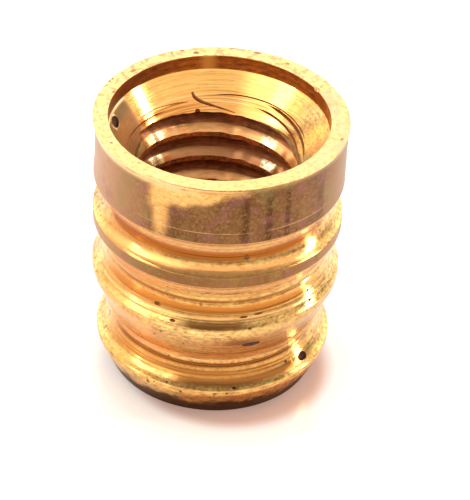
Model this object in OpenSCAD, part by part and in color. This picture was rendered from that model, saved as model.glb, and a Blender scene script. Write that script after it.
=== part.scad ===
// Press-in threaded insert, turned from one piece of brass bar.
//
// From the mouth down the outside has a plain collar with a thin flared lip, a narrow land, a barb
// and a tapered nose, with a round-bottomed groove between each of them. The collar, the land and
// the barb keep the diameter of the bar. The barb and the nose are tapered, so that they slide into
// a hole and then hold in its wall.
// Inside are a shallow counterbore, a countersink and the tapping bore of an M10 x 1.5 thread.
// The insert stands on its nose with its axis along +Z and its mouth on top. Sizes are in millimetres.

/* [Bar] */
// Diameter of the bar that the insert is turned from
bar_d = 12.8; // [12.4:0.1:13.6]

/* [Collar] */
// Height of the collar, from the rim to the upper groove
collar_h = 3.3; // [1.5:0.1:6]
// How far the lip flares out from the collar by the time it reaches the rim
lip_out = 0.1; // [0.05:0.05:0.4]
// Height of the lip's flare
lip_h = 0.4; // [0.1:0.05:0.8]

/* [Mouth and bore] */
// Diameter of the counterbore
counterbore_d = 11.2; // [10.4:0.1:11.8]
// Depth of the counterbore
counterbore_h = 0.8; // [0.3:0.1:1.8]
// Depth of the countersink, from the counterbore's floor to the bore
countersink_h = 1.85; // [0.6:0.05:3]
// Diameter of the bore, which is the minor diameter of the thread
bore_d = 8.5; // [7.5:0.1:9.2]
// Width of the chamfer at the lower end of the bore
bore_chamfer = 0.45; // [0.2:0.05:0.6]

/* [Land and barb] */
// Height of the land
land_h = 0.6; // [0.3:0.1:3]
// Height of the straight part of the barb
barb_land_h = 0.4; // [0.2:0.1:2]
// Height of the barb's taper
barb_taper_h = 1.7; // [0.8:0.1:4]
// How far the barb's taper comes in from the bar's surface
barb_taper_in = 0.7; // [0.3:0.05:0.8]

/* [Nose] */
// How far the nose's straight part lies inside the bar's surface
nose_inset = 0.3; // [0:0.05:0.4]
// Height of the straight part of the nose
nose_land_h = 0.3; // [0.2:0.1:2]
// Height of the nose's taper
nose_taper_h = 1.6; // [0.8:0.1:4]
// How far the nose's taper comes in from its straight part
nose_taper_in = 0.75; // [0.3:0.05:0.8]

/* [Grooves] */
// Radius of the tool that turned the upper groove
upper_tool_r = 1.2; // [0.8:0.1:2.4]
// Depth of the upper groove below the bar's surface
upper_groove_depth = 0.6; // [0.3:0.1:0.9]
// Radius of the tool that turned the middle groove
middle_tool_r = 1.8; // [0.8:0.1:2.6]
// Depth of the middle groove below the bar's surface
middle_groove_depth = 0.6; // [0.3:0.1:0.9]
// Radius of the tool that turned the lower groove
lower_tool_r = 1.4; // [0.8:0.1:2.4]
// Depth of the lower groove below the small end of the barb's taper
lower_groove_depth = 0.3; // [0.1:0.05:0.4]

/* [Hidden] */
$fn = 144;

// How far a cut runs past the face that it opens
past = 1;

// Radii of the surfaces outside
bar_r = bar_d / 2;
lip_r = bar_r + lip_out;
barb_foot_r = bar_r - barb_taper_in;
nose_r = bar_r - nose_inset;
nose_end_r = nose_r - nose_taper_in;

// Radii at the bottom of the grooves
upper_root_r = bar_r - upper_groove_depth;
middle_root_r = bar_r - middle_groove_depth;
lower_root_r = barb_foot_r - lower_groove_depth;

// Half the width of a groove at the given depth above its bottom: a round end, then straight sides
function half_w(tool_r, depth) = sqrt(pow(tool_r, 2) - pow(max(tool_r - depth, 0), 2));

// Heights of the features above the nose's end face, from the bottom up
nose_top_z = nose_taper_h + nose_land_h;
lower_groove_z = nose_top_z + half_w(lower_tool_r, nose_r - lower_root_r);
barb_foot_z = lower_groove_z + half_w(lower_tool_r, lower_groove_depth);
barb_crest_z = barb_foot_z + barb_taper_h;
barb_top_z = barb_crest_z + barb_land_h;
middle_groove_z = barb_top_z + half_w(middle_tool_r, middle_groove_depth);
land_z = middle_groove_z + half_w(middle_tool_r, middle_groove_depth);
upper_groove_z = land_z + land_h + half_w(upper_tool_r, upper_groove_depth);
collar_z = upper_groove_z + half_w(upper_tool_r, upper_groove_depth);
insert_h = collar_z + collar_h;

// Heights of the features inside
counterbore_z = insert_h - counterbore_h;
bore_top_z = counterbore_z - countersink_h;

// Half section of the blank before it is grooved: radius along X, height along Y
module blank_section() {
    polygon([
        [0, 0],
        [nose_end_r, 0],
        [nose_r, nose_taper_h],
        [nose_r, lower_groove_z],
        [barb_foot_r, lower_groove_z],
        [barb_foot_r, barb_foot_z],
        [bar_r, barb_crest_z],
        [bar_r, insert_h - lip_h],
        [lip_r, insert_h],
        [0, insert_h],
    ]);
}

// Section of a round-nosed tool that has cut in to the radius root_r at the height z
module tool_section(tool_r, root_r, z) {
    translate([root_r + tool_r, z]) {
        circle(r = tool_r);
        translate([0, -tool_r]) square([bar_r, 2 * tool_r]);
    }
}

// Outside of the insert, solid to its axis
module grooved_blank() {
    rotate_extrude() difference() {
        blank_section();
        tool_section(upper_tool_r, upper_root_r, upper_groove_z);
        tool_section(middle_tool_r, middle_root_r, middle_groove_z);
        tool_section(lower_tool_r, lower_root_r, lower_groove_z);
    }
}

// What is taken out from the mouth: the counterbore and the countersink below it
module mouth_cut() {
    translate([0, 0, counterbore_z]) cylinder(h = counterbore_h + past, d = counterbore_d);
    translate([0, 0, bore_top_z]) cylinder(h = countersink_h, d1 = bore_d, d2 = counterbore_d);
}

// Bore through the whole insert, with the chamfer at its lower end
module bore_cut() {
    translate([0, 0, -past]) cylinder(h = insert_h, d = bore_d);
    translate([0, 0, -past]) cylinder(h = past, d = bore_d + 2 * bore_chamfer);
    cylinder(h = bore_chamfer, d1 = bore_d + 2 * bore_chamfer, d2 = bore_d);
}

module threaded_insert() {
    color("goldenrod") difference() {
        grooved_blank();
        mouth_cut();
        bore_cut();
    }
}

threaded_insert();
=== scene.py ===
"""Looks of the press-in threaded insert: one turned brass piece with its thread, burrs and tarnish.

Lengths are in millimetres, and the finished mesh is scaled to metres. Azimuths are in degrees,
counted from +X towards +Y, and the camera stands on the -Y side.
"""

import math

import bmesh
import bpy
from mathutils import Matrix, Vector, noise


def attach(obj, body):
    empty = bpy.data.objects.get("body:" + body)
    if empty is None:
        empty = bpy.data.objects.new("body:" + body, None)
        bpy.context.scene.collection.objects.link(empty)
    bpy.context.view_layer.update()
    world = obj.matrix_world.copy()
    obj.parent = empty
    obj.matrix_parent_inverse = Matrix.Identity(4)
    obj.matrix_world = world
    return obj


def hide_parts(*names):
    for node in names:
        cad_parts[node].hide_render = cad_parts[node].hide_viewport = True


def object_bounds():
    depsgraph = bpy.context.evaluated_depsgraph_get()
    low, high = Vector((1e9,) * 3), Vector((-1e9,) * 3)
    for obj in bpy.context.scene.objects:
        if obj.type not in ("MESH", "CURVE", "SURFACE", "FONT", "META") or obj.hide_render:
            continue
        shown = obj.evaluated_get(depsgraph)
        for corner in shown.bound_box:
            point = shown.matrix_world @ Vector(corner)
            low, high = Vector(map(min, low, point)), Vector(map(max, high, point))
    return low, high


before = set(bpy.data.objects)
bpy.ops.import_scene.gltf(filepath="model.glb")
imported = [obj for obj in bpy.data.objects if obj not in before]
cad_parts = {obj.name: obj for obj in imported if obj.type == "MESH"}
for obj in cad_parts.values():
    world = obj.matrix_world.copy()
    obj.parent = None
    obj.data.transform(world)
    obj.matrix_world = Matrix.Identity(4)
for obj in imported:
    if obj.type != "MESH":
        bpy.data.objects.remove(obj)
cad_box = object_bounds()

MM = 0.001

# Sizes outside, as in the part's source
INSERT_H = cad_box[1].z / MM
LIP_R = cad_box[1].x / MM
BAR_R = 6.4
COLLAR_H = 3.3
LIP_H = 0.4
LAND_H = 0.6
BARB_LAND_H = 0.4
BARB_TAPER_H = 1.7
BARB_FOOT_R = 5.7
NOSE_R = 6.1
NOSE_LAND_H = 0.3
NOSE_TAPER_H = 1.6
NOSE_END_R = 5.35
UPPER_TOOL_R = 1.2
UPPER_ROOT_R = 5.8
MIDDLE_TOOL_R = 1.8
MIDDLE_ROOT_R = 5.8
LOWER_TOOL_R = 1.4
LOWER_ROOT_R = 5.4

# Sizes inside
COUNTERBORE_R = 5.6
COUNTERBORE_H = 0.8
COUNTERSINK_H = 1.85
BORE_R = 4.25
BORE_CHAMFER = 0.45
# The thread's crests stand in a little from the bore, and the countersink's foot leads in to them
CREST_R = 4.14
LEAD_R = 4.22
LEAD_FOOT = 3.1

# Heights above the nose's end face
NOSE_TOP_Z = NOSE_TAPER_H + NOSE_LAND_H
COUNTERBORE_Z = INSERT_H - COUNTERBORE_H
LEAD_TOP = COUNTERBORE_H + COUNTERSINK_H * (COUNTERBORE_R - LEAD_R) / (COUNTERBORE_R - BORE_R)
COLLAR_Z = INSERT_H - COLLAR_H

# The thread, M10 x 1.5 and right-handed
PITCH = 1.5
ROOT_R = 5.07
ROOT_FLAT = PITCH / 8
FLANK_SLOPE = math.tan(math.radians(30))
UPPER_FLANK_SLOPE = 0.42
# Depth of one crest's middle below the rim, at the azimuth where it was read
CREST_DEPTH = 3.90
CREST_AZIMUTH = 92
# How far each crest's upper corner is worn back, outwards and up, and how far that slope bulges
CREST_WORN_R = 0.32
CREST_WORN_H = 0.37
CREST_BULGE = 0.02
# How far each crest's lower corner is worn back, and that wear's height as a share of it
CREST_WEAR = 0.05
CREST_WEAR_UP = 0.3
# Depths below the rim between which the tap's groove runs out, and the height in which its last
# trace then fades
RUN_OUT_TOP = 2.77
RUN_OUT_FOOT = 2.88
RUN_OUT_TRACE = 0.08
# How far the groove's upper edge is pressed down on the right, the depths below the rim where that
# starts and ends, and the heights in which it sets in and fades
PRESSED = 0.30
PRESSED_TOP = 3.36
PRESSED_FOOT = 3.90
PRESSED_IN = 0.1
PRESSED_OUT = 0.3
# How far the tap has torn the groove's upper edge, and how fast that changes from one column of
# the mesh to the next
TEAR = 0.07
TEAR_STEP = 0.23
# How far the thread's cutter reaches in past the crests, and below the nose
CUTTER_INNER = 0.15
CUTTER_BELOW = 0.5

# How far the bore's axis lies off the outside's
BORE_SHIFT = -0.1

# Ridges and creases that the forming tools left round the grooves: height, half-width and how far
# they stand out
TOOL_MARKS = [
    (10.32, 0.06, -0.02),
    (7.36, 0.06, -0.04),
    (6.78, 0.05, 0.012),
    (6.42, 0.06, 0.04),
    (3.05, 0.07, -0.04),
    (2.62, 0.05, 0.010),
    (2.36, 0.05, 0.010),
]

# Small waves in the lip, how many there are to a radian, and how much of one also lowers the rim
LIP_WAVE = 0.03
LIP_WAVES = 4
LIP_WAVE_DOWN = 0.6
# How far the collar is drawn in on its left side
WAIST = 0.05
WAIST_AZIMUTH = 190

# How finely the mesh is divided: around the insert, and along the grooves in millimetres
COLUMNS = 208
GROOVE_STEP = 0.08


def half_width(tool_r, depth):
    """Half the width of a round-bottomed groove at that depth above its bottom."""
    return math.sqrt(tool_r**2 - max(tool_r - depth, 0) ** 2)


LOWER_GROOVE_Z = NOSE_TOP_Z + half_width(LOWER_TOOL_R, NOSE_R - LOWER_ROOT_R)
BARB_FOOT_Z = LOWER_GROOVE_Z + half_width(LOWER_TOOL_R, BARB_FOOT_R - LOWER_ROOT_R)
BARB_CREST_Z = BARB_FOOT_Z + BARB_TAPER_H
BARB_TOP_Z = BARB_CREST_Z + BARB_LAND_H
MIDDLE_GROOVE_Z = BARB_TOP_Z + half_width(MIDDLE_TOOL_R, BAR_R - MIDDLE_ROOT_R)
LAND_Z = MIDDLE_GROOVE_Z + half_width(MIDDLE_TOOL_R, BAR_R - MIDDLE_ROOT_R)
UPPER_GROOVE_Z = LAND_Z + LAND_H + half_width(UPPER_TOOL_R, BAR_R - UPPER_ROOT_R)


def step_up(value, low, high):
    """0 up to low, 1 from high on, and a smooth step between them."""
    t = min(max((value - low) / (high - low), 0), 1)
    return t * t * (3 - 2 * t)


# ---------------------------------------------------------------- section of the blank


def line(start, end, step):
    """Points from start up to end, without end, no further than step apart."""
    count = max(1, math.ceil(math.dist(start, end) / step))
    return [tuple(a + (b - a) * k / count for a, b in zip(start, end)) for k in range(count)]


def tool_mark(z):
    """How far the tools' ridges stand out at height z."""
    return sum(out * math.exp(-(((z - height) / half) ** 2))
               for height, half, out in TOOL_MARKS)


def groove(tool_r, root_r, centre_z, start_z, end_z):
    """Points along a round-bottomed groove from start_z up to end_z, without the last.

    They are evenly spaced, and closer where the tools left a mark.
    """
    heights = []
    low, high = (math.asin((z - centre_z) / tool_r) for z in (start_z, end_z))
    count = math.ceil((high - low) * tool_r / GROOVE_STEP)
    for k in range(count):
        heights.append(centre_z + tool_r * math.sin(low + (high - low) * k / count))
    for height, half, _ in TOOL_MARKS:
        marked = [height + half * share for share in (-1.6, -1, -0.5, 0, 0.5, 1, 1.6)]
        heights = [z for z in heights if not marked[0] <= z <= marked[-1]]
        heights += [z for z in marked if start_z < z < end_z]
    centre_r = root_r + tool_r
    return [(centre_r - math.sqrt(tool_r**2 - (z - centre_z) ** 2) + tool_mark(z), z)
            for z in sorted(heights)]


def blank_section():
    """Closed section of the blank as (zone, wear, points) runs, from the bore's foot out and round.

    A run's wear is how far the corner at its start is rounded.
    """
    nose_foot = (NOSE_END_R, 0)
    nose_corner = (NOSE_R, NOSE_TAPER_H)
    nose_top = (NOSE_R, NOSE_TOP_Z)
    barb_foot = (BARB_FOOT_R, BARB_FOOT_Z)
    barb_crest = (BAR_R, BARB_CREST_Z)
    barb_top = (BAR_R, BARB_TOP_Z)
    land_foot = (BAR_R, LAND_Z)
    land_top = (BAR_R, LAND_Z + LAND_H)
    collar_foot = (BAR_R, COLLAR_Z)
    lip_foot = (BAR_R, INSERT_H - LIP_H)
    rim_out = (LIP_R, INSERT_H)
    rim_in = (COUNTERBORE_R, INSERT_H)
    counterbore_foot = (COUNTERBORE_R, COUNTERBORE_Z)
    cone_foot = (LEAD_R, INSERT_H - LEAD_TOP)
    lead_foot = (CREST_R, INSERT_H - LEAD_FOOT)
    bore_foot = (CREST_R, BORE_CHAMFER + BORE_R - CREST_R)
    chamfer_foot = (BORE_R + BORE_CHAMFER, 0)
    lower = groove(LOWER_TOOL_R, LOWER_ROOT_R, LOWER_GROOVE_Z, NOSE_TOP_Z, BARB_FOOT_Z)
    middle = groove(MIDDLE_TOOL_R, MIDDLE_ROOT_R, MIDDLE_GROOVE_Z, BARB_TOP_Z, LAND_Z)
    upper = groove(UPPER_TOOL_R, UPPER_ROOT_R, UPPER_GROOVE_Z, land_top[1], COLLAR_Z)
    return [
        ("end", 0.03, line(chamfer_foot, nose_foot, 0.3)),
        ("nose", 0.06, line(nose_foot, nose_corner, 0.2)),
        ("nose", 0.1, line(nose_corner, nose_top, 0.15)),
        ("groove", 0.03, lower),
        ("barb", 0.06, line(barb_foot, barb_crest, 0.2)),
        ("barb", 0.08, line(barb_crest, barb_top, 0.13)),
        ("groove", 0.03, middle),
        ("bar", 0.03, line(land_foot, land_top, 0.15)),
        ("groove", 0.03, upper),
        ("bar", 0.03, line(collar_foot, lip_foot, 0.25)),
        ("bar", 0.1, line(lip_foot, rim_out, 0.1)),
        ("rim", 0.15, line(rim_out, rim_in, 0.1)),
        ("counterbore", 0.04, line(rim_in, counterbore_foot, 0.1)),
        ("cone", 0.04, line(counterbore_foot, cone_foot, 0.07)),
        ("lead", 0.03, line(cone_foot, lead_foot, 0.15)),
        ("crest", 0.03, line(lead_foot, bore_foot, 0.4)),
        ("chamfer", 0.03, line(bore_foot, chamfer_foot, 0.2)),
    ]


def worn_corner(before, corner, after, wear):
    """Points of the rounded corner, from wear short of it to wear past it."""
    ends = []
    for end in (before, after):
        share = min(wear / math.dist(corner, end), 0.9)
        ends.append(tuple(c + (e - c) * share for c, e in zip(corner, end)))
    points = []
    for t in (0, 0.25, 0.5, 0.75, 1):
        points.append(tuple(a * (1 - t) ** 2 + 2 * c * t * (1 - t) + b * t * t
                            for a, c, b in zip(ends[0], corner, ends[1])))
    return points


def worn_section(runs):
    """The section as (radius, height, zone) points, with every corner worn round."""
    section = []
    for index, (zone, wear, points) in enumerate(runs):
        zone_before, _, run_before = runs[index - 1]
        turn = worn_corner(run_before[-1], points[0], points[1], wear)
        section += [(r, z, zone_before) for r, z in turn[:2]]
        section += [(r, z, zone) for r, z in turn[2:] + points[1:]]
    return section


def bore_share(zone, r):
    """How far a point of that zone follows the bore's axis: 1 inside, 0 outside."""
    if zone == "rim":
        return 1 - step_up(r, COUNTERBORE_R, BAR_R)
    if zone == "end":
        return 1 - step_up(r, BORE_R + BORE_CHAMFER, NOSE_END_R)
    return 1 if zone in ("counterbore", "cone", "lead", "crest", "chamfer") else 0


def revolve(section, zones):
    """Closed ring-shaped mesh from a section. Each face has its zone's slot."""
    verts = []
    for r, z, zone in section:
        inner = bore_share(zone, r)
        lip = step_up(z, INSERT_H - LIP_H, INSERT_H) * (1 - inner)
        waist = step_up(z, COLLAR_Z, COLLAR_Z + 1) - step_up(z, INSERT_H - 1, INSERT_H)
        waist *= 1 - inner
        for k in range(COLUMNS):
            azimuth = 2 * math.pi * k / COLUMNS
            east, north = math.cos(azimuth), math.sin(azimuth)
            place = Vector((east * LIP_WAVES, north * LIP_WAVES, z * 2))
            wave = LIP_WAVE * lip * abs(noise.noise(place))
            side = max(0, math.cos(azimuth - math.radians(WAIST_AZIMUTH)))
            out = r - wave - WAIST * waist * side
            verts.append((out * east + BORE_SHIFT * inner, out * north, z - wave * LIP_WAVE_DOWN))
    faces = []
    for row in range(len(section)):
        above = (row + 1) % len(section)
        for column in range(COLUMNS):
            beside = (column + 1) % COLUMNS
            faces.append([row * COLUMNS + column, row * COLUMNS + beside,
                          above * COLUMNS + beside, above * COLUMNS + column])
    mesh = bpy.data.meshes.new("turned")
    mesh.from_pydata(verts, [], faces)
    slots = [zones.index(SLOT_OF.get(zone, zone)) for _, _, zone in section]
    mesh.polygons.foreach_set("material_index", [slot for slot in slots for _ in range(COLUMNS)])
    return mesh


# ---------------------------------------------------------------- what is cut from it


def sweep(rings, slots):
    """Closed mesh that joins rings of points, one after another, with flat ends.

    Seen from the sweep's start, each ring turns anticlockwise. slots holds the slot of each side of
    a ring, from its first point on, and the ends get the first.
    """
    n = len(rings[0])
    faces = []
    for k in range(len(rings) - 1):
        for i in range(n):
            j = (i + 1) % n
            faces.append([k * n + i, (k + 1) * n + i, (k + 1) * n + j, k * n + j])
    last = (len(rings) - 1) * n
    faces.append(list(range(n)))
    faces.append([last + i for i in range(n)][::-1])
    mesh = bpy.data.meshes.new("sweep")
    mesh.from_pydata([point for ring in rings for point in ring], [], faces)
    mesh.polygons.foreach_set("material_index", slots * (len(rings) - 1) + [slots[0]] * 2)
    return mesh


def around(azimuth, r, z):
    """Point at that azimuth, in degrees, and radius from the bore's axis."""
    angle = math.radians(azimuth)
    return (r * math.cos(angle) + BORE_SHIFT, r * math.sin(angle), z)


def thread_cutter(thread, flank):
    """Closed helical mesh of what the tap cuts away, from below the nose to where it runs out.

    The crests' worn upper corners get the slot flank, and the rest gets the slot thread.
    """
    inner_r = CREST_R - CUTTER_INNER
    crest_z = INSERT_H - CREST_DEPTH
    start = -PITCH - CUTTER_BELOW
    # A groove's middle lies half a pitch from a crest's middle
    middle = crest_z - (math.floor((crest_z - start) / PITCH) - 0.5) * PITCH
    run_out_top = INSERT_H - RUN_OUT_TOP
    turns = math.ceil((run_out_top - start) / PITCH)
    full_depth = ROOT_R - CREST_R
    full_half = ROOT_FLAT / 2 + full_depth * FLANK_SLOPE
    rings = []
    for k in range(turns * COLUMNS + 1):
        azimuth = 360 * (k + 0.5) / COLUMNS
        z0 = middle + PITCH * (azimuth - CREST_AZIMUTH) / 360
        share = 1 - step_up(z0, INSERT_H - RUN_OUT_FOOT, run_out_top - RUN_OUT_TRACE)
        # A fiftieth is left at the end, so that the last rings keep their shape
        fade = 1 - 0.98 * step_up(z0, run_out_top - RUN_OUT_TRACE, run_out_top)
        tear = TEAR * noise.noise(Vector((k * TEAR_STEP, 0, 0)))
        worn_r, worn_z = CREST_WORN_R * fade, CREST_WORN_H * fade + tear
        depth = worn_r + (full_depth * fade - worn_r) * share
        root_z = worn_z + (depth - worn_r) * FLANK_SLOPE
        flat = ROOT_FLAT / 2 * fade
        wear = CREST_WEAR * fade
        # The flank above the root is steeper than the thread's own, to end about where that would
        pressed = step_up(INSERT_H - z0, PRESSED_TOP, PRESSED_TOP + PRESSED_IN)
        pressed *= 1 - step_up(INSERT_H - z0, PRESSED_FOOT - PRESSED_OUT, PRESSED_FOOT)
        top = root_z + flat + depth * UPPER_FLANK_SLOPE - PRESSED * pressed
        bulge = CREST_BULGE * fade
        ring = [
            (inner_r, tear),
            (CREST_R, tear),
            (CREST_R + worn_r / 3, tear + (worn_z - tear) / 3 + bulge),
            (CREST_R + worn_r * 2 / 3, tear + (worn_z - tear) * 2 / 3 + bulge),
            (CREST_R + worn_r, worn_z),
            (CREST_R + depth, root_z),
            (CREST_R + depth, root_z + flat),
            (CREST_R + wear, top - wear * UPPER_FLANK_SLOPE),
            (CREST_R, top + wear * CREST_WEAR_UP),
            (inner_r, top + wear * CREST_WEAR_UP),
        ]
        rings.append([around(azimuth, r, z0 - full_half + dz) for r, dz in ring])
    slots = [thread, flank, flank, flank] + [thread] * 6
    return sweep(rings, slots)


# ---------------------------------------------------------------- marks in the countersink


def cone_r(depth):
    """Radius of the countersink at that depth below the rim, or of the lead-in and crests."""
    if depth < LEAD_TOP:
        drawn_in = (LEAD_R - COUNTERBORE_R) * (depth - COUNTERBORE_H) / (LEAD_TOP - COUNTERBORE_H)
        return COUNTERBORE_R + drawn_in
    return LEAD_R + (CREST_R - LEAD_R) * min((depth - LEAD_TOP) / (LEAD_FOOT - LEAD_TOP), 1)


# Furrows along the countersink: the azimuths that they run between, their depth below the rim by
# the share of the way, half-width, depth of cut and zone. Those of the burr zone are dark inside,
# dirt and painted shade.
FURROWS = [
    (3, 62, lambda share: 1.92 + 0.62 * (1 - share) ** 1.4, 0.085, 0.07, "burr"),
    (10, 68, lambda share: 2.20 + 0.65 * (1 - share) ** 1.6, 0.065, 0.05, "burr"),
    (14, 100, lambda share: 1.83 + 0.9 * (share - 0.65) ** 2, 0.035, 0.03, "burr"),
    (128, 184, lambda share: 2.24 - 0.10 * share, 0.04, 0.04, "burr"),
    (112, 150, lambda share: 2.10 - 0.12 * share, 0.03, 0.015, "cone"),
]


def furrow(start, end, depth_at, half_wide, deep, slot):
    """Cutter of one furrow, with a ring at every degree. Both of its ends taper."""
    slant = math.hypot(COUNTERBORE_R - BORE_R, COUNTERSINK_H)
    up_r, up_z = (COUNTERBORE_R - BORE_R) / slant, COUNTERSINK_H / slant
    steps = int(end - start)
    rings = []
    for k in range(steps + 1):
        share = k / steps
        depth = depth_at(share)
        taper = 0.1 + 0.9 * step_up(share, 0, 0.15) * (1 - step_up(share, 0.8, 1))
        w, d = half_wide * taper, deep * taper
        r, z = cone_r(depth), INSERT_H - depth
        ring = [(r - up_r * w, z - up_z * w), (r + up_z * d, z - up_r * d),
                (r + up_r * w, z + up_z * w), (r - up_z * d, z + up_r * d)]
        rings.append([around(start + k, *point) for point in ring])
    return sweep(rings, [slot] * 4)


# The hair of metal: the azimuth that it starts at and the degrees that it then turns back through,
# the depth below the rim that it starts at and how far it then drops, its radius at the start and
# how much thinner it gets, and how proud its middle stands of the countersink
HAIR_AZIMUTH = 108
HAIR_TURN = 28
HAIR_TOP = 1.70
HAIR_DROP = 0.87
HAIR_R = 0.115
HAIR_THINNING = 0.075
HAIR_PROUD = 0.04


def hair_middle(share):
    """Point on the hair's middle line, which hangs down at first and then curls round."""
    depth = HAIR_TOP + HAIR_DROP * share ** 0.8
    azimuth = HAIR_AZIMUTH - HAIR_TURN * share ** 2
    return Vector(around(azimuth, cone_r(depth) - HAIR_PROUD, INSERT_H - depth))


def burr(slot):
    """The hair of metal that hangs down the countersink at the back and curls along its foot."""
    steps = 30
    sides = 8
    rings = []
    for k in range(steps + 1):
        share = k / steps
        rounded = math.sin(math.pi * (0.06 + 0.9 * share)) ** 0.5
        thick = (HAIR_R - HAIR_THINNING * share) * rounded
        middle = hair_middle(share)
        along = (hair_middle(share + 0.01) - hair_middle(max(share - 0.01, 0))).normalized()
        across = along.cross((-middle.x, -middle.y, 0)).normalized()
        inward = across.cross(along)
        turns = (2 * math.pi * i / sides for i in range(sides))
        rings.append([middle + (across * math.cos(t) + inward * math.sin(t)) * thick
                      for t in turns])
    return sweep(rings, [slot] * sides)


# Small pits: azimuth, radius and height of the mouth, then its half-width, half-height and depth.
# The deepest is in the countersink on the left, and the next in the third groove on the right.
DIRTY_PITS = [
    (-33.8, 5.73, 2.21, 0.34, 0.27, 0.20),
    (-89.2, 5.71, 0.80, 0.36, 0.22, 0.08),
    (-70.1, 6.04, 4.80, 0.50, 0.27, 0.10),
    (-77.2, 5.97, 1.98, 0.11, 0.14, 0.07),
    (-36.2, 5.93, 6.75, 0.08, 0.08, 0.08),
    (-37.2, 6.17, 6.33, 0.11, 0.08, 0.07),
    (172.1, 5.39, INSERT_H - 1.09, 0.42, 0.42, 0.22),
]
BROWN_PITS = [
    (-117.6, 5.93, 6.76, 0.19, 0.10, 0.07),
    (-108.2, 6.23, 6.25, 0.16, 0.09, 0.07),
    (-74.1, 5.82, 10.22, 0.16, 0.16, 0.06),
    (-74.5, 6.00, 6.59, 0.22, 0.06, 0.06),
    (-66.9, 5.98, 6.64, 0.24, 0.05, 0.06),
    (-72.3, 6.37, 6.11, 0.09, 0.07, 0.05),
    (-45.6, 5.58, 2.42, 0.10, 0.08, 0.06),
    (-103.3, 6.10, 1.64, 0.08, 0.08, 0.05),
    (-110.8, 5.99, 1.97, 0.06, 0.06, 0.05),
    (-80.9, 6.10, 1.76, 0.07, 0.06, 0.05),
    (-58.0, 5.79, 0.94, 0.12, 0.07, 0.05),
    (-117.9, 6.09, 4.92, 0.08, 0.06, 0.05),
    (-113.9, 6.26, 5.35, 0.07, 0.05, 0.05),
    (107.4, 4.33, INSERT_H - 2.52, 0.14, 0.14, 0.12),
]
# Specks on the rim, and chips out of its edges: the second half-length is along the axis
RIM_SPECKS = [
    (111.0, 6.33, INSERT_H, 0.13, 0.03, 0.09),
    (104.8, 5.95, INSERT_H, 0.17, 0.04, 0.15),
    (141.4, 5.98, INSERT_H, 0.21, 0.03, 0.09),
    (129.9, 6.41, INSERT_H, 0.10, 0.03, 0.08),
    (163.1, 5.79, INSERT_H, 0.14, 0.03, 0.09),
    (155.6, 6.38, INSERT_H, 0.11, 0.03, 0.08),
    (74.8, 6.26, INSERT_H, 0.22, 0.03, 0.09),
    (87.0, 6.41, INSERT_H, 0.21, 0.03, 0.08),
    (58.0, 6.10, INSERT_H, 0.11, 0.02, 0.09),
    (-14.0, 6.20, INSERT_H, 0.14, 0.03, 0.09),
    (-152.0, 6.05, INSERT_H, 0.11, 0.02, 0.08),
]
BRIGHT_NICKS = [
    (31.4, 5.56, INSERT_H, 0.20, 0.13, 0.14),
    (60.0, 6.52, INSERT_H, 0.16, 0.08, 0.09),
    (156.0, 5.62, INSERT_H, 0.14, 0.08, 0.07),
    (-128.0, 5.60, INSERT_H, 0.16, 0.07, 0.06),
    (-40.0, 6.52, INSERT_H, 0.14, 0.07, 0.06),
]


def pit_cutter(pits, slot):
    """Balls that dent the surface where the pits are, as one mesh."""
    form = bmesh.new()
    for azimuth, r, z, half_w, half_h, deep in pits:
        place = Matrix.Rotation(math.radians(azimuth), 4, "Z") @ Matrix.Translation((r, 0, z))
        bmesh.ops.create_icosphere(form, subdivisions=3, radius=1,
                                   matrix=place @ Matrix.Diagonal((deep, half_w, half_h, 1)))
    mesh = bpy.data.meshes.new("pits")
    form.to_mesh(mesh)
    form.free()
    mesh.polygons.foreach_set("material_index", [slot] * len(mesh.polygons))
    return mesh


def combine(target, tool, operation):
    """Joins tool to target's mesh, or cuts it away, and removes tool."""
    modifier = target.modifiers.new(operation, "BOOLEAN")
    modifier.operation = operation
    modifier.solver = "MANIFOLD"
    modifier.object = tool
    view = bpy.context.evaluated_depsgraph_get()
    mesh = bpy.data.meshes.new_from_object(target.evaluated_get(view))
    target.modifiers.clear()
    target.data = mesh
    bpy.data.objects.remove(tool)


def link(name, mesh):
    piece = bpy.data.objects.new(name, mesh)
    bpy.context.scene.collection.objects.link(piece)
    return piece


# ---------------------------------------------------------------- what materials are made with


def feed(socket, value):
    """Links a Field to a node's socket, or sets the socket to a plain value."""
    if isinstance(value, Field):
        value.tree.links.new(value.socket, socket)
    elif socket.type == "RGBA":
        socket.default_value = (*value, 1)
    else:
        socket.default_value = value


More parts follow.
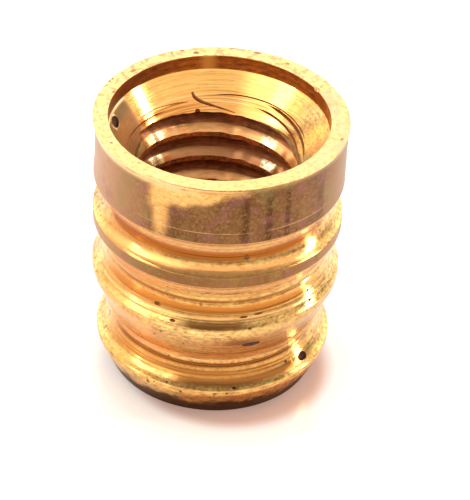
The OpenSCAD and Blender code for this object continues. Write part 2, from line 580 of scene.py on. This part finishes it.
class Field:
    """A number, vector or colour that nodes work out, used with ordinary arithmetic."""

    def __init__(self, tree, socket):
        self.tree = tree
        self.socket = socket

    def math(self, operation, *others):
        node = self.tree.nodes.new("ShaderNodeMath")
        node.operation = operation
        for place, value in enumerate((self, *others)):
            feed(node.inputs[place], value)
        return Field(self.tree, node.outputs[0])

    def vector(self, operation, other=(0, 0, 0), output="Vector"):
        node = self.tree.nodes.new("ShaderNodeVectorMath")
        node.operation = operation
        feed(node.inputs[0], self)
        feed(node.inputs[1], other)
        return Field(self.tree, node.outputs[output])

    def __add__(self, other):
        return self.math("ADD", other)

    def __sub__(self, other):
        return self.math("SUBTRACT", other)

    def __mul__(self, other):
        return self.math("MULTIPLY", other)

    def __truediv__(self, other):
        return self.math("DIVIDE", other)

    def rise(self, low, high):
        """0 at low, 1 at high and a smooth step between them, downwards if high is below low."""
        node = self.tree.nodes.new("ShaderNodeMapRange")
        node.interpolation_type = "SMOOTHSTEP"
        feed(node.inputs["Value"], self)
        feed(node.inputs["From Min"], low)
        feed(node.inputs["From Max"], high)
        return Field(self.tree, node.outputs["Result"])

    def either(self, other):
        """The larger of two masks."""
        return self.math("MAXIMUM", other)

    def pick(self, under, over):
        """under where this mask is 0, over where it is 1. Both are numbers."""
        return (self * -1 + 1) * under + self * over

    def mix(self, under, over):
        """under where this mask is 0, over where it is 1. Both are colours."""
        node = self.tree.nodes.new("ShaderNodeMix")
        node.data_type = "RGBA"
        feed(node.inputs["Factor"], self)
        feed(node.inputs[6], under)
        feed(node.inputs[7], over)
        return Field(self.tree, node.outputs[2])


# Mean radius that patterns around the part are measured on, and how rough a film of oil is
SPREAD_R = 6
FILM_ROUGHNESS = 0.08


class Finish:
    """One zone's material, with the places and patterns that its look is worked out from.

    height is in mm. east and north are the cosine and sine of the azimuth. The functions below set
    colour and roughness, and most of them relief, the surface's fine height in mm.
    """

    def __init__(self, name):
        self.material = bpy.data.materials.new(name)
        self.material.use_nodes = True
        self.tree = self.material.node_tree
        self.shader = self.tree.nodes["Principled BSDF"]
        coordinates = self.tree.nodes.new("ShaderNodeTexCoord")
        place = Field(self.tree, coordinates.outputs["Object"]).vector("MULTIPLY", (1 / MM,) * 3)
        split = self.tree.nodes.new("ShaderNodeSeparateXYZ")
        feed(split.inputs[0], place)
        x, y, self.height = (Field(self.tree, output) for output in split.outputs)
        self.radius = (x * x + y * y).math("SQRT")
        self.east = x / self.radius
        self.north = y / self.radius
        self.spread = self.join(self.east * SPREAD_R, self.north * SPREAD_R, self.height)
        self.colour = self.roughness = self.relief = None

    def join(self, x, y, z):
        node = self.tree.nodes.new("ShaderNodeCombineXYZ")
        for socket, value in zip(node.inputs, (x, y, z)):
            feed(socket, value)
        return Field(self.tree, node.outputs[0])

    def noise(self, across, along, detail=2.0, seed=0.0):
        """Noise around 0.5, with that many patches to a millimetre around and along the surface."""
        node = self.tree.nodes.new("ShaderNodeTexNoise")
        node.noise_dimensions = "4D"
        place = self.join(self.east * (SPREAD_R * across), self.north * (SPREAD_R * across),
                          self.height * along)
        feed(node.inputs["Vector"], place)
        feed(node.inputs["W"], self.radius * along + seed)
        node.inputs["Scale"].default_value = 1
        node.inputs["Detail"].default_value = detail
        return Field(self.tree, node.outputs["Fac"])

    def spot(self, azimuth, height, half_width, half_height, edge):
        """1 inside an oval mark, 0 outside it. edge is the share of its radius that it fades in."""
        angle = math.radians(azimuth)
        middle = (SPREAD_R * math.cos(angle), SPREAD_R * math.sin(angle), height)
        scale = (1 / half_width, 1 / half_width, 1 / half_height)
        offset = self.spread.vector("SUBTRACT", middle).vector("MULTIPLY", scale)
        return offset.vector("LENGTH", output="Value").rise(1, 1 - edge)

    def band(self, height, half_height):
        """1 along a line round the part at that height, falling to 0 at half_height from it."""
        return (self.height - height).math("ABSOLUTE").rise(half_height, 0)

    def ragged(self, across, along, detail, seed, reach):
        """Noise that shifts an edge by up to half of reach either way."""
        return (self.noise(across, along, detail, seed) - 0.5) * reach

    def front(self):
        """1 on the insert's own -Y side, falling to 0 towards its left and right sides."""
        return self.north.rise(-0.2, -0.7)

    def front_left(self):
        return self.east.rise(-0.30, -0.58) * self.north.rise(-0.2, -0.6)

    def lay(self, mask, colour):
        """Lays that colour over the finish where the mask is 1."""
        self.colour = mask.mix(self.colour, colour)

    def made(self, metallic, film=0.0):
        """Sets up the shader and gives the material. film is how much oil coats it."""
        self.shader.inputs["Coat Weight"].default_value = film
        self.shader.inputs["Coat Roughness"].default_value = FILM_ROUGHNESS
        feed(self.shader.inputs["Base Color"], self.colour)
        feed(self.shader.inputs["Metallic"], metallic)
        feed(self.shader.inputs["Roughness"], self.roughness)
        if self.relief is not None:
            bump = self.tree.nodes.new("ShaderNodeBump")
            bump.inputs["Distance"].default_value = MM
            feed(bump.inputs["Height"], self.relief)
            feed(self.shader.inputs["Normal"], Field(self.tree, bump.outputs[0]))
        return self.material


# ---------------------------------------------------------------- the finishes


def grained(f, colour, strength, across=5):
    """The colour with the fine mottling that all of the metal has, olive and pink in patches."""
    grain = f.noise(across, 8, 2, seed=31)
    tint = f.noise(1.8, 2.6, 2, seed=51)
    colour = (tint.rise(0.52, 0.68) * strength * 0.5).mix(colour, (0.60, 0.40, 0.12))
    colour = (tint.rise(0.48, 0.32) * strength * 0.5).mix(colour, (0.95, 0.45, 0.25))
    mottle = f.noise(2.4, 3.0, 4, seed=71)
    shade = (grain - 0.5) * (strength * 5.5) + (mottle - 0.5) * (strength * 2.5) + 1
    return colour.vector("MULTIPLY", shade).vector("MINIMUM", (1, 1, 1)).vector("MAXIMUM")


def turned(name, colour, dark, specks, roughness, grit=0.55, across=5):
    """Finish of brass as the tool left it: lines round it, dark patches, mottling and specks.

    Specks are fewer the higher specks is. grit is how strong the lines and the mottling are, and
    across is how many grains of the mottling there are to a millimetre.
    """
    f = Finish(name)
    lines = f.noise(0.25, 8, 3, seed=4)
    scores = f.noise(1.2, 9, 3, seed=24)
    patches = f.noise(0.8, 0.9, 3, seed=7)
    grain = f.noise(7, 7, 2, seed=9)
    f.colour = (patches.rise(0.42, 0.68) * 0.5).mix(colour, dark)
    f.lay(lines.rise(0.52, 0.70) * 0.5, dark)
    f.lay(scores.rise(0.54, 0.70) * grit, dark)
    light = tuple(min(part * 1.35, 1) for part in colour)
    f.lay(scores.rise(0.46, 0.30) * grit * 0.7, light)
    f.colour = grained(f, f.colour, grit * 0.8, across)
    spots = f.noise(2.4, 2.4, 2, seed=13).rise(specks, specks + 0.04)
    f.lay(spots * 0.7, (0.16, 0.06, 0.015))
    f.roughness = patches * 0.12 + (grain - 0.5) * 0.12 + roughness + spots * 0.2
    f.relief = lines * 0.008 + scores * 0.004 + grain * 0.002
    return f


# Upright dark streaks in the bar's skin, painted reflections of dark things in front of it: azimuth
# and half-width
DARK_REFLECTION_STREAKS = [(-77, 0.30), (-66, 0.28), (-57, 0.22), (-37, 0.40)]
# The skin is rubbed through above a slanting line: its height at the middle of the front, and how
# far it would climb from there to the right side
RUBBED_Z = 14.0
RUBBED_CLIMB = 1.84


def bar_skin():
    """The bar's own drawn skin, left on the collar and the land: brown, and rubbed through."""
    f = Finish("bar")
    patches = f.noise(0.35, 0.15, seed=3).rise(0.35, 0.65)
    f.colour = patches.mix((0.17, 0.070, 0.024), (0.28, 0.125, 0.042))
    # Painted reflections: upright dark streaks
    dark_reflected_streaks = f.noise(1.1, 0.06, 3, seed=11).rise(0.55, 0.70) * 0.5
    for azimuth, half_wide in DARK_REFLECTION_STREAKS:
        dark_reflected_streaks = dark_reflected_streaks.either(f.spot(azimuth, 12.2, half_wide, 6, 0.8) * 0.9)
    f.lay(dark_reflected_streaks, (0.105, 0.038, 0.010))
    speckle = f.noise(8, 7, 3, seed=5)
    f.lay(speckle.rise(0.50, 0.72) * 0.5, (0.48, 0.26, 0.10))
    f.lay(speckle.rise(0.50, 0.30) * 0.5, (0.10, 0.035, 0.020))
    # Paler and pinker towards the left side, a painted reflection, and paler towards the right
    left = f.east.rise(-0.42, -0.95) * f.north.rise(0.4, -0.2)
    f.lay(left * 0.8, (0.64, 0.33, 0.16))
    f.lay(f.east.rise(0.72, 1.0) * 0.5, (0.58, 0.28, 0.09))
    # The narrow land has lost some of it
    f.lay(f.height.rise(COLLAR_Z - 0.5, COLLAR_Z - 1) * 0.3, (0.52, 0.24, 0.07))
    # Olive and plum tints
    tint = f.noise(1.2, 1.2, 3, seed=53)
    f.lay(tint.rise(0.52, 0.66) * 0.35, (0.30, 0.22, 0.07))
    f.lay(tint.rise(0.48, 0.34) * 0.35, (0.34, 0.13, 0.12))
    # Rubbed through to clean brass above the slanting line, down one upright band and at the lip
    slant = f.height - f.east * RUBBED_CLIMB - RUBBED_Z + f.ragged(1.2, 1.0, 3, seed=8, reach=1.0)
    wedge = slant.rise(-0.25, 0.25) * f.east.rise(-0.56, -0.46) * f.east.rise(0.34, 0.10)
    wedge = wedge * f.north.rise(0, -0.3)
    upright = f.spot(-115.5, 13.0, 0.62, 2.6, 0.8)
    lip = f.height.rise(INSERT_H - 0.35, INSERT_H - 0.05) * (f.east.rise(0.1, -0.4) * 0.7 + 0.3)
    lip_left = f.east.rise(0, -0.4) * f.north.rise(0.2, -0.2)
    lip = lip.either(f.height.rise(INSERT_H - 0.62, INSERT_H - 0.25) * lip_left)
    worn = wedge.either(upright * 0.85).either(lip)
    rubbed = lip.mix(grained(f, (0.93, 0.47, 0.14), 0.25), (0.98, 0.68, 0.30))
    fringe = f.band(INSERT_H - 0.20, 0.12) * f.noise(1.2, 2, 3, seed=55).rise(0.40, 0.60)
    f.lay(worn, (fringe * 0.8).mix(rubbed, (0.62, 0.25, 0.06)))
    # Bright lower edges, and a scratch round the collar
    edges = f.band(COLLAR_Z, 0.08).either(f.band(LAND_Z, 0.06))
    f.lay(edges * 0.7, (0.95, 0.56, 0.18))
    scratch = f.band(COLLAR_Z + 0.66, 0.05) * f.noise(0.5, 0.1, seed=2).rise(0.4, 0.6)
    f.lay(scratch * 0.6, (0.75, 0.45, 0.2))
    f.roughness = worn * -0.12 + 0.36 + (speckle - 0.5) * 0.3
    f.relief = speckle * 0.004 + f.noise(0.2, 9, 2, seed=1) * 0.004
    return f.made(0.95)


# Rings round the grooves, painted reflection and shade in light and dark bands: height,
# half-height, colour and how much of it shows
PAINTED_LIGHT_AND_SHADE_RINGS = [
    (10.32, 0.54, (0.44, 0.12, 0.010), 1.6),
    (9.62, 0.45, (0.98, 0.42, 0.12), 0.9),
    (9.36, 0.16, (0.62, 0.27, 0.08), 0.7),
    (7.80, 0.22, (0.62, 0.31, 0.08), 0.8),
    (7.46, 0.18, (0.44, 0.15, 0.02), 1.2),
    (6.95, 0.46, (0.66, 0.22, 0.03), 1.3),
    (6.55, 0.24, (0.94, 0.46, 0.14), 0.9),
    (3.54, 0.30, (1.0, 0.76, 0.40), 1.1),
    (3.02, 0.28, (0.38, 0.12, 0.015), 1.4),
    (2.56, 0.44, (0.72, 0.26, 0.045), 1.1),
]
# Brown smears above the land, the barb and the nose: azimuth and height
SMEARS = [(-17, 9.60), (-18, 6.60), (-14, 2.35)]
# The tops of the grooves, which face down, are painted paler and less metallic, a painted
# reflection: height and half-height
PAINTED_PALE_TOPS = [(11.02, 0.62), (8.42, 0.55), (4.05, 0.30)]
DARK_REFLECTION_BROWN = (0.26, 0.10, 0.02)


def dark_reflection_line(f):
    """Painted dark reflection along the barb's top edge, plainest at the front."""
    front = f.east.rise(-0.42, -0.08) * (f.east.rise(0.40, 0.10) * 0.6 + 0.4) * f.front()
    broken = f.noise(1.4, 2, 3, seed=79).rise(0.25, 0.50) * 0.6 + 0.4
    return f.band(6.25, 0.30) * front * broken * 1.3


def groove_brass():
    f = turned("groove", (0.96, 0.53, 0.15), dark=(0.66, 0.32, 0.09), specks=0.66, roughness=0.12)
    f.lay(f.front_left() * 0.7, (0.90, 0.38, 0.09))
    # The painted rings are fainter towards the sides, and patchy
    patchy = f.noise(0.6, 0.8, 3, seed=17).rise(0.25, 0.50) * 0.4 + 0.6
    shown = patchy * f.front() * (f.east.rise(0.95, 0.30) * 0.4 + 0.6)
    for height, half_height, ring_paint, strength in PAINTED_LIGHT_AND_SHADE_RINGS:
        f.lay(f.band(height, half_height) * shown * strength, ring_paint)
    foot = f.band(2.20, 0.32) * f.east.rise(-0.38, -0.22) * f.front()
    f.lay(foot * 1.2, (0.38, 0.13, 0.02))
    blotched = f.noise(1.8, 2.4, 3, seed=73).rise(0.38, 0.56)
    for azimuth, height in SMEARS:
        smear = f.spot(azimuth, height, 0.8, 0.45, 0.9) * blotched
        f.lay(smear * 0.65, (0.38, 0.18, 0.06))
    # Painted dark reflection along the barb's top edge
    f.lay(dark_reflection_line(f), DARK_REFLECTION_BROWN)
    # Painted reflection: the tops of the grooves paler and less metallic
    upper, middle, lower = (f.band(*hazed) for hazed in PAINTED_PALE_TOPS)
    pale_top_reflection = upper.either(middle).either(lower)
    f.lay(pale_top_reflection * 0.7, (1.0, 0.71, 0.37))
    # The bar's brown skin frays over the upper groove's lower edge
    frayed = (f.height + f.ragged(1.5, 2.5, 3, seed=57, reach=0.5)).rise(9.40, 9.15)
    frayed = frayed * f.height.rise(8.9, 9.0) * f.front()
    f.lay(frayed * 0.5, (0.40, 0.18, 0.06))
    # Rubbed smoother on the right
    f.roughness = f.roughness - f.east.rise(0.45, 0.65) * 0.05
    return f.made(pale_top_reflection * -0.5 + 1, film=0.25)


def barb_brass():
    f = turned("barb", (0.98, 0.60, 0.20), dark=(0.62, 0.29, 0.07), specks=0.68, roughness=0.16)
    f.lay(f.front_left() * 0.4, (0.98, 0.42, 0.10))
    right = f.east.rise(0.2, 0.5) * f.height.rise(6.3, 6.0)
    f.lay(right * 0.5, (0.62, 0.32, 0.10))
    edge = f.height + f.ragged(1.2, 2, 3, seed=61, reach=0.5)
    low = edge.rise(5.35, 4.95) * f.east.rise(-0.9, -0.4)
    f.lay(low * 0.45, (0.62, 0.27, 0.07))
    # Painted dark reflection along the barb's top edge
    f.lay(dark_reflection_line(f), DARK_REFLECTION_BROWN)
    # Brown stain beside the pit
    blotched = f.noise(1.6, 2, 3, seed=75).rise(0.3, 0.5) * 0.6 + 0.4
    f.lay(f.spot(-76, 5.05, 1.5, 0.42, 0.8) * blotched * 0.9, (0.32, 0.12, 0.025))
    return f.made(1.0, film=0.25)


def nose_brass():
    """Grimy at its foot, and dark there as painted shade where it meets the floor."""
    f = turned("nose", (0.97, 0.58, 0.19), dark=(0.56, 0.23, 0.05), specks=0.67, roughness=0.20,
               grit=0.4, across=3)
    f.lay(f.spot(-84, 1.30, 3.0, 0.55, 0.9) * 0.35, (0.34, 0.15, 0.04))
    top_line = f.band(2.05, 0.22) * f.east.rise(-0.38, -0.22) * f.east.rise(0.5, 0.2) * f.front()
    f.lay(top_line * 1.1, (0.34, 0.12, 0.02))
    edge = f.height + (f.ragged(0.9, 1.2, 4, seed=21, reach=1.4)
                       + f.ragged(2.6, 2.6, 3, seed=77, reach=0.6))
    # Dark foot: grime and painted shade near the floor
    grime_and_shade = edge.rise(1.25, 0.75).either(f.height.rise(0.62, 0.40))
    f.lay(grime_and_shade * 0.92, (0.060, 0.022, 0.010))
    f.roughness = f.roughness + grime_and_shade * 0.2
    return f.made(1.0)


def rim_brass():
    f = turned("rim", (0.96, 0.60, 0.22), dark=(0.88, 0.48, 0.15), specks=0.70, roughness=0.24,
               grit=0.35)
    flecks = f.noise(3.2, 3.2, 4, seed=41).rise(0.48, 0.60)
    f.lay(flecks * (f.north.rise(-0.6, 0.4) * 0.6 + 0.4), (0.70, 0.34, 0.13))
    smear = f.noise(1.4, 1.4, 3, seed=63).rise(0.36, 0.54) * f.east.rise(0.5, 0.95)
    f.lay(smear * 0.8, (0.74, 0.44, 0.22))
    return f.made(1.0)


def counterbore_brass():
    """Partly torn, so that it also scatters light, with a painted reflection as one brighter patch
    at the back, and painted shade under the rim's edge.
    """
    f = turned("counterbore", (0.68, 0.26, 0.055), dark=(0.42, 0.145, 0.025), specks=0.70,
               roughness=0.26, grit=0.45, across=2)
    # Painted shade: darker just under the rim's edge
    f.lay(f.height.rise(INSERT_H - 0.35, INSERT_H - 0.05) * 0.5, (0.36, 0.12, 0.03))
    f.lay(f.east.rise(-0.3, -0.85) * 0.75, (0.24, 0.10, 0.035))
    # Painted reflection: a brighter, less metallic patch at the back
    bright = f.spot(99, INSERT_H - 0.4, 0.70, 2, 0.9)
    f.lay(bright, (1.0, 0.50, 0.12))
    return f.made(bright * -0.2 + 0.85)


def cone_brass():
    """The countersink: ringed, with a painted highlight on the right laid as a rubbed patch, and
    dulled by a film on the left, with painted shade there.
    """
    f = turned("cone", (1.0, 0.57, 0.15), dark=(0.92, 0.43, 0.10), specks=0.76, roughness=0.08,
               grit=0.32, across=1.6)
    rings = f.noise(0.15, 9, 2, seed=23)
    low = f.height.rise(INSERT_H - 1.5, INSERT_H - 2.2)
    f.lay(f.north.rise(0.2, 0.8) * f.east.rise(0.5, 0.2) * 0.7, (1.0, 0.49, 0.13))
    f.lay(low * 0.7, (0.88, 0.34, 0.08))
    f.lay(rings.rise(0.53, 0.66) * (low * 0.6 + 0.3), (0.52, 0.19, 0.04))
    f.lay(rings.rise(0.46, 0.34) * (low * 0.6 + 0.2), (1.0, 0.70, 0.30))
    # Painted highlight: a pale, less metallic patch on the right
    rubbed = f.spot(10, INSERT_H - 1.7, 2.9, 2.8, 0.5)
    f.lay(rubbed * 0.9, grained(f, (1.0, 0.66, 0.23), 0.4))
    # Dark, dull film on the left, partly painted shade
    film_and_shade = f.spot(170, INSERT_H - 1.7, 2.2, 2.6, 0.3)
    blotched = f.noise(1.2, 1.2, 3, seed=59).rise(0.35, 0.65) * 0.4
    patchy = f.height.rise(INSERT_H - 1.1, INSERT_H - 1.7) * 0.7 + blotched
    f.lay(film_and_shade * 0.9, patchy.mix((0.13, 0.078, 0.030), (0.35, 0.145, 0.045)))
    smudge = f.spot(34, INSERT_H - 1.15, 0.7, 0.35, 0.9)
    smudge = smudge * f.noise(3, 2, 3, seed=27).rise(0.4, 0.6)
    f.lay(smudge * 0.7, (0.40, 0.30, 0.14))
    # A rubbed edge along the film's top, and a painted highlight round the deep pit
    edge = f.band(COUNTERBORE_Z - 0.05, 0.12) * film_and_shade
    pit_rim_highlight = f.spot(173, INSERT_H - 1.07, 0.60, 0.54, 0.3)
    pit_rim_highlight = pit_rim_highlight * f.noise(2, 2, 3, seed=67).rise(0.42, 0.56)
    f.lay(edge.either(pit_rim_highlight), (1.0, 0.72, 0.38))
    f.roughness = f.roughness + film_and_shade * 0.3
    f.relief = f.relief + rings * 0.006
    return f.made(rubbed * -0.6 + 1 - film_and_shade * 0.4)


def lead_brass():
    """The lead-in below the countersink, rubbed bright."""
    f = turned("lead", (1.0, 0.76, 0.38), dark=(0.80, 0.42, 0.13), specks=0.72, roughness=0.16)
    f.lay(f.spot(172, INSERT_H - 3.0, 1.6, 1.2, 0.5) * 0.8, (0.44, 0.30, 0.11))
    return f.made(0.8)


def thread_brass():
    """The thread's own flanks and roots: torn, oily and reddish, and painted darker than the
    crests' worn corners as shade.
    """
    f = turned("thread", (0.50, 0.17, 0.05), dark=(0.22, 0.065, 0.02), specks=0.70,
               roughness=0.32, grit=0.4, across=0.7)
    return f.made(0.7)


def crest_brass():
    f = turned("crest", (0.66, 0.23, 0.07), dark=(0.36, 0.11, 0.03), specks=0.70, roughness=0.30)
    return f.made(0.75)


def flank_brass():
    """The crests' worn upper corners, rubbed bright and painted lighter than the thread as lit
    brass, with painted highlights in two places of the back.
    """
    f = turned("flank", (1.0, 0.46, 0.15), dark=(0.96, 0.36, 0.09), specks=0.72, roughness=0.18,
               grit=0.3, across=0.9)
    # Painted shade: darker lower down, around the second turn
    f.lay(f.band(INSERT_H - 5.3, 1.1) * 0.85, (0.46, 0.17, 0.055))
    # Painted highlights in two places of the back
    bright = f.spot(54, INSERT_H - 4.4, 0.8, 2.4, 0.4)
    bright = bright.either(f.spot(139, INSERT_H - 4.2, 0.75, 2.0, 0.3))
    bright = bright * f.noise(2.2, 3, 3, seed=65).rise(0.34, 0.50)
    f.lay(bright * 0.85, (1.0, 0.88, 0.50))
    f.lay(f.spot(162, INSERT_H - 3.4, 1.3, 1.0, 0.4) * 0.75, (0.40, 0.30, 0.11))
    return f.made(bright * 0.25 + 0.6, film=0.1)


def mottled(name, per_mm, dark, light, metallic, roughness):
    """Plain mottled finish of a small mark."""
    f = Finish(name)
    f.colour = f.noise(per_mm, per_mm).mix(dark, light)
    f.roughness = roughness
    return f.made(metallic)


# The finish of each zone of the section, in slot order
ZONES = {
    "bar": bar_skin(),
    "nose": nose_brass(),
    "barb": barb_brass(),
    "groove": groove_brass(),
    "rim": rim_brass(),
    "counterbore": counterbore_brass(),
    "cone": cone_brass(),
    "lead": lead_brass(),
    "crest": crest_brass(),
    "thread": thread_brass(),
    "flank": flank_brass(),
    "burr": mottled("burr", 4, (0.09, 0.028, 0.008), (0.44, 0.16, 0.04), 0.75, 0.45),
    "speck": mottled("speck", 5, (0.34, 0.13, 0.03), (0.74, 0.38, 0.14), 0.7, 0.4),
    "pit": mottled("pit", 6, (0.05, 0.010, 0.005), (0.14, 0.04, 0.02), 0.2, 0.6),
}
# Zones of the section that share another's finish
SLOT_OF = {"end": "nose", "chamfer": "crest"}
# The finish of each list of pits
PITS = [(DIRTY_PITS, "pit"), (BROWN_PITS, "burr"), (RIM_SPECKS, "speck"), (BRIGHT_NICKS, "rim")]
# Edges that turn by more than this many degrees stay sharp
SHARP_ANGLE = 32


def build_insert():
    zones = list(ZONES)
    slot = zones.index
    piece = link("insert", revolve(worn_section(blank_section()), zones))
    cutters = [thread_cutter(slot("thread"), slot("flank"))]
    cutters += [furrow(*course, slot(zone)) for *course, zone in FURROWS]
    cutters += [pit_cutter(pits, slot(zone)) for pits, zone in PITS]
    tools = [link("cutter", mesh) for mesh in cutters]
    hair = link("hair", burr(slot("burr")))
    for obj in (piece, *tools, hair):
        for material in ZONES.values():
            obj.data.materials.append(material)
    for tool in tools:
        combine(piece, tool, "DIFFERENCE")
    combine(piece, hair, "UNION")
    mesh = piece.data
    mesh.transform(Matrix.Scale(MM, 4))
    mesh.polygons.foreach_set("use_smooth", [True] * len(mesh.polygons))
    mesh.set_sharp_from_angle(angle=math.radians(SHARP_ANGLE))
    return piece


# ---------------------------------------------------------------- camera, floor and light

CAMERA_ELEVATION = math.radians(36.671)
CAMERA_ROLL = math.radians(2.957)
# Focal length and the frame's longer side in pixels, and the sensor's longer side in mm
FOCAL_PX = 2684.3
FRAME_PX = 500
SENSOR = 36
# Where the rim's centre lies from the lens: to its right, above it and in front of it
RIM_R = 6.5
RIM_RIGHT = -0.1015 * RIM_R
RIM_UP = 1.0305 * RIM_R
RIM_AHEAD = 20.671 * RIM_R


def add_camera():
    sin_e, cos_e = math.sin(CAMERA_ELEVATION), math.cos(CAMERA_ELEVATION)
    sin_r, cos_r = math.sin(CAMERA_ROLL), math.cos(CAMERA_ROLL)
    right = Vector((cos_r, sin_r * sin_e, sin_r * cos_e))
    up = Vector((-sin_r, cos_r * sin_e, cos_r * cos_e))
    ahead = Vector((0, cos_e, -sin_e))
    rim_centre = Vector((0, 0, INSERT_H))
    place = rim_centre - RIM_RIGHT * right - RIM_UP * up - RIM_AHEAD * ahead
    camera = bpy.data.objects.new("camera", bpy.data.cameras.new("camera"))
    turn = Matrix((right, up, -ahead)).transposed().to_4x4()
    camera.matrix_world = Matrix.Translation(place * MM) @ turn
    camera.data.sensor_width = SENSOR
    camera.data.lens = FOCAL_PX / FRAME_PX * SENSOR
    camera.data.clip_start = 0.01
    camera.data.clip_end = 10
    bpy.context.scene.collection.objects.link(camera)
    bpy.context.scene.camera = camera


# Half the floor's side in metres, its roughness, and its own glow, which only the camera sees
FLOOR_HALF = 0.6
FLOOR_ROUGHNESS = 0.15
FLOOR_GLOW = 0.15
# The middle of the painted shadow and warm painted bounce light round the insert's foot on the
# floor, and the distances from there, in mm, between which their pale and deep tints fade
PAINTED_SHADOW_MIDDLE = (1.0, -1.3, 0)
PALE_PAINTED_SHADOW_FADE = (8.6, 5.6)
DEEP_PAINTED_SHADOW_FADE = (5.8, 4.7)


def add_floor():
    """Pale floor that renders white in the open and keeps the insert's shadow, with a painted
    shadow round the insert's foot.
    """
    half = FLOOR_HALF
    mesh = bpy.data.meshes.new("floor")
    mesh.from_pydata([(-half, -half, 0), (half, -half, 0), (half, half, 0), (-half, half, 0)],
                     [], [(0, 1, 2, 3)])
    floor = link("floor", mesh)
    material = bpy.data.materials.new("floor")
    material.use_nodes = True
    tree = material.node_tree
    shader = tree.nodes["Principled BSDF"]
    coordinates = tree.nodes.new("ShaderNodeTexCoord")
    place = Field(tree, coordinates.outputs["Object"]).vector("MULTIPLY", (1 / MM,) * 3)
    away = place.vector("SUBTRACT", PAINTED_SHADOW_MIDDLE).vector("LENGTH", output="Value")
    # Painted shadow: the floor turns pale and then deep warm brown towards the insert's foot
    colour = away.rise(*PALE_PAINTED_SHADOW_FADE).mix((0.97, 0.94, 0.92), (0.95, 0.83, 0.76))
    colour = away.rise(*DEEP_PAINTED_SHADOW_FADE).mix(colour, (0.64, 0.33, 0.21))
    feed(shader.inputs["Base Color"], colour)
    shader.inputs["Roughness"].default_value = FLOOR_ROUGHNESS
    shader.inputs["Emission Color"].default_value = (1, 1, 1, 1)
    rays = tree.nodes.new("ShaderNodeLightPath")
    seen = Field(tree, rays.outputs["Is Camera Ray"])
    feed(shader.inputs["Emission Strength"], seen * FLOOR_GLOW)
    mesh.materials.append(material)


def direction(azimuth, elevation):
    azimuth, elevation = math.radians(azimuth), math.radians(elevation)
    return Vector((math.cos(azimuth) * math.cos(elevation),
                   math.sin(azimuth) * math.cos(elevation), math.sin(elevation)))


# How far the lamps stand from the insert, in metres
LAMP_AWAY = 0.4
# Soft lamps: name, azimuth, elevation, width and height in metres, and radiance
LAMPS = [
    ("right", 5, 10, 0.055, 0.28, 17),
    ("left", -165, 17, 0.035, 0.06, 9),
    ("high right", 26, 49, 0.15, 0.12, 4.5),
    ("high left", 163, 57, 0.15, 0.12, 4.5),
]


def add_lamp(name, azimuth, elevation, width, height, radiance):
    """Soft lamp in that direction, aimed at the insert's middle."""
    lamp = bpy.data.lights.new(name, "AREA")
    lamp.shape = "RECTANGLE"
    lamp.size = width
    lamp.size_y = height
    lamp.energy = radiance * math.pi * width * height
    obj = bpy.data.objects.new(name, lamp)
    way = direction(azimuth, elevation)
    place = Vector((0, 0, INSERT_H / 2 * MM)) + way * LAMP_AWAY
    facing = (-way).to_track_quat("-Z", "Y").to_matrix().to_4x4()
    obj.matrix_world = Matrix.Translation(place) @ facing
    bpy.context.scene.collection.objects.link(obj)


# How bright the room is all round, and how much is added behind the insert, in a ring above it and
# on its left
ROOM = 0.42
BACK_WALL = 1.0
RING = 0.72
LEFT_WALL = 0.5
# Brighter parts of the room: azimuth, elevation, radii that they fade between, and radiance
GLOWS = [
    (-138, 35, 4, 24, 1.0),
    (-164, 32, 3, 13, 2.7),
    (4, 33, 3, 10, 2.5),
]


def add_world():
    """Soft white room: brightest behind the insert, and dullest low down on the camera's side."""
    world = bpy.data.worlds.new("studio")
    bpy.context.scene.world = world
    world.use_nodes = True
    tree = world.node_tree
    background = tree.nodes["Background"]
    coordinates = tree.nodes.new("ShaderNodeTexCoord")
    way = Field(tree, coordinates.outputs["Generated"])
    split = tree.nodes.new("ShaderNodeSeparateXYZ")
    feed(split.inputs[0], way)
    x, y, z = (Field(tree, output) for output in split.outputs)
    back_wall = y.rise(0.35, 0.7) * z.rise(0.95, 0.7)
    ring = z.rise(0.05, 0.4) * z.rise(0.8, 0.6)
    left_wall = x.rise(-0.5, -0.9) * z.rise(0.9, 0.6)
    strength = back_wall * BACK_WALL + ring * RING + left_wall * LEFT_WALL + ROOM
    for azimuth, elevation, inner, outer, radiance in GLOWS:
        to_glow = tuple(direction(azimuth, elevation))
        near = way.vector("DOT_PRODUCT", to_glow, output="Value")
        edges = (math.cos(math.radians(angle)) for angle in (outer, inner))
        strength = strength + near.rise(*edges) * radiance
    rays = tree.nodes.new("ShaderNodeLightPath")
    seen = Field(tree, rays.outputs["Is Camera Ray"])
    feed(background.inputs["Strength"], seen.pick(strength, 1.0))
    background.inputs["Color"].default_value = (1, 1, 1, 1)


# ---------------------------------------------------------------- the scene

insert = build_insert()
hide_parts("threaded_insert")
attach(insert, "root")

add_camera()
add_floor()
add_world()
for lamp in LAMPS:
    add_lamp(*lamp)

bpy.context.scene.view_settings.view_transform = "Standard"
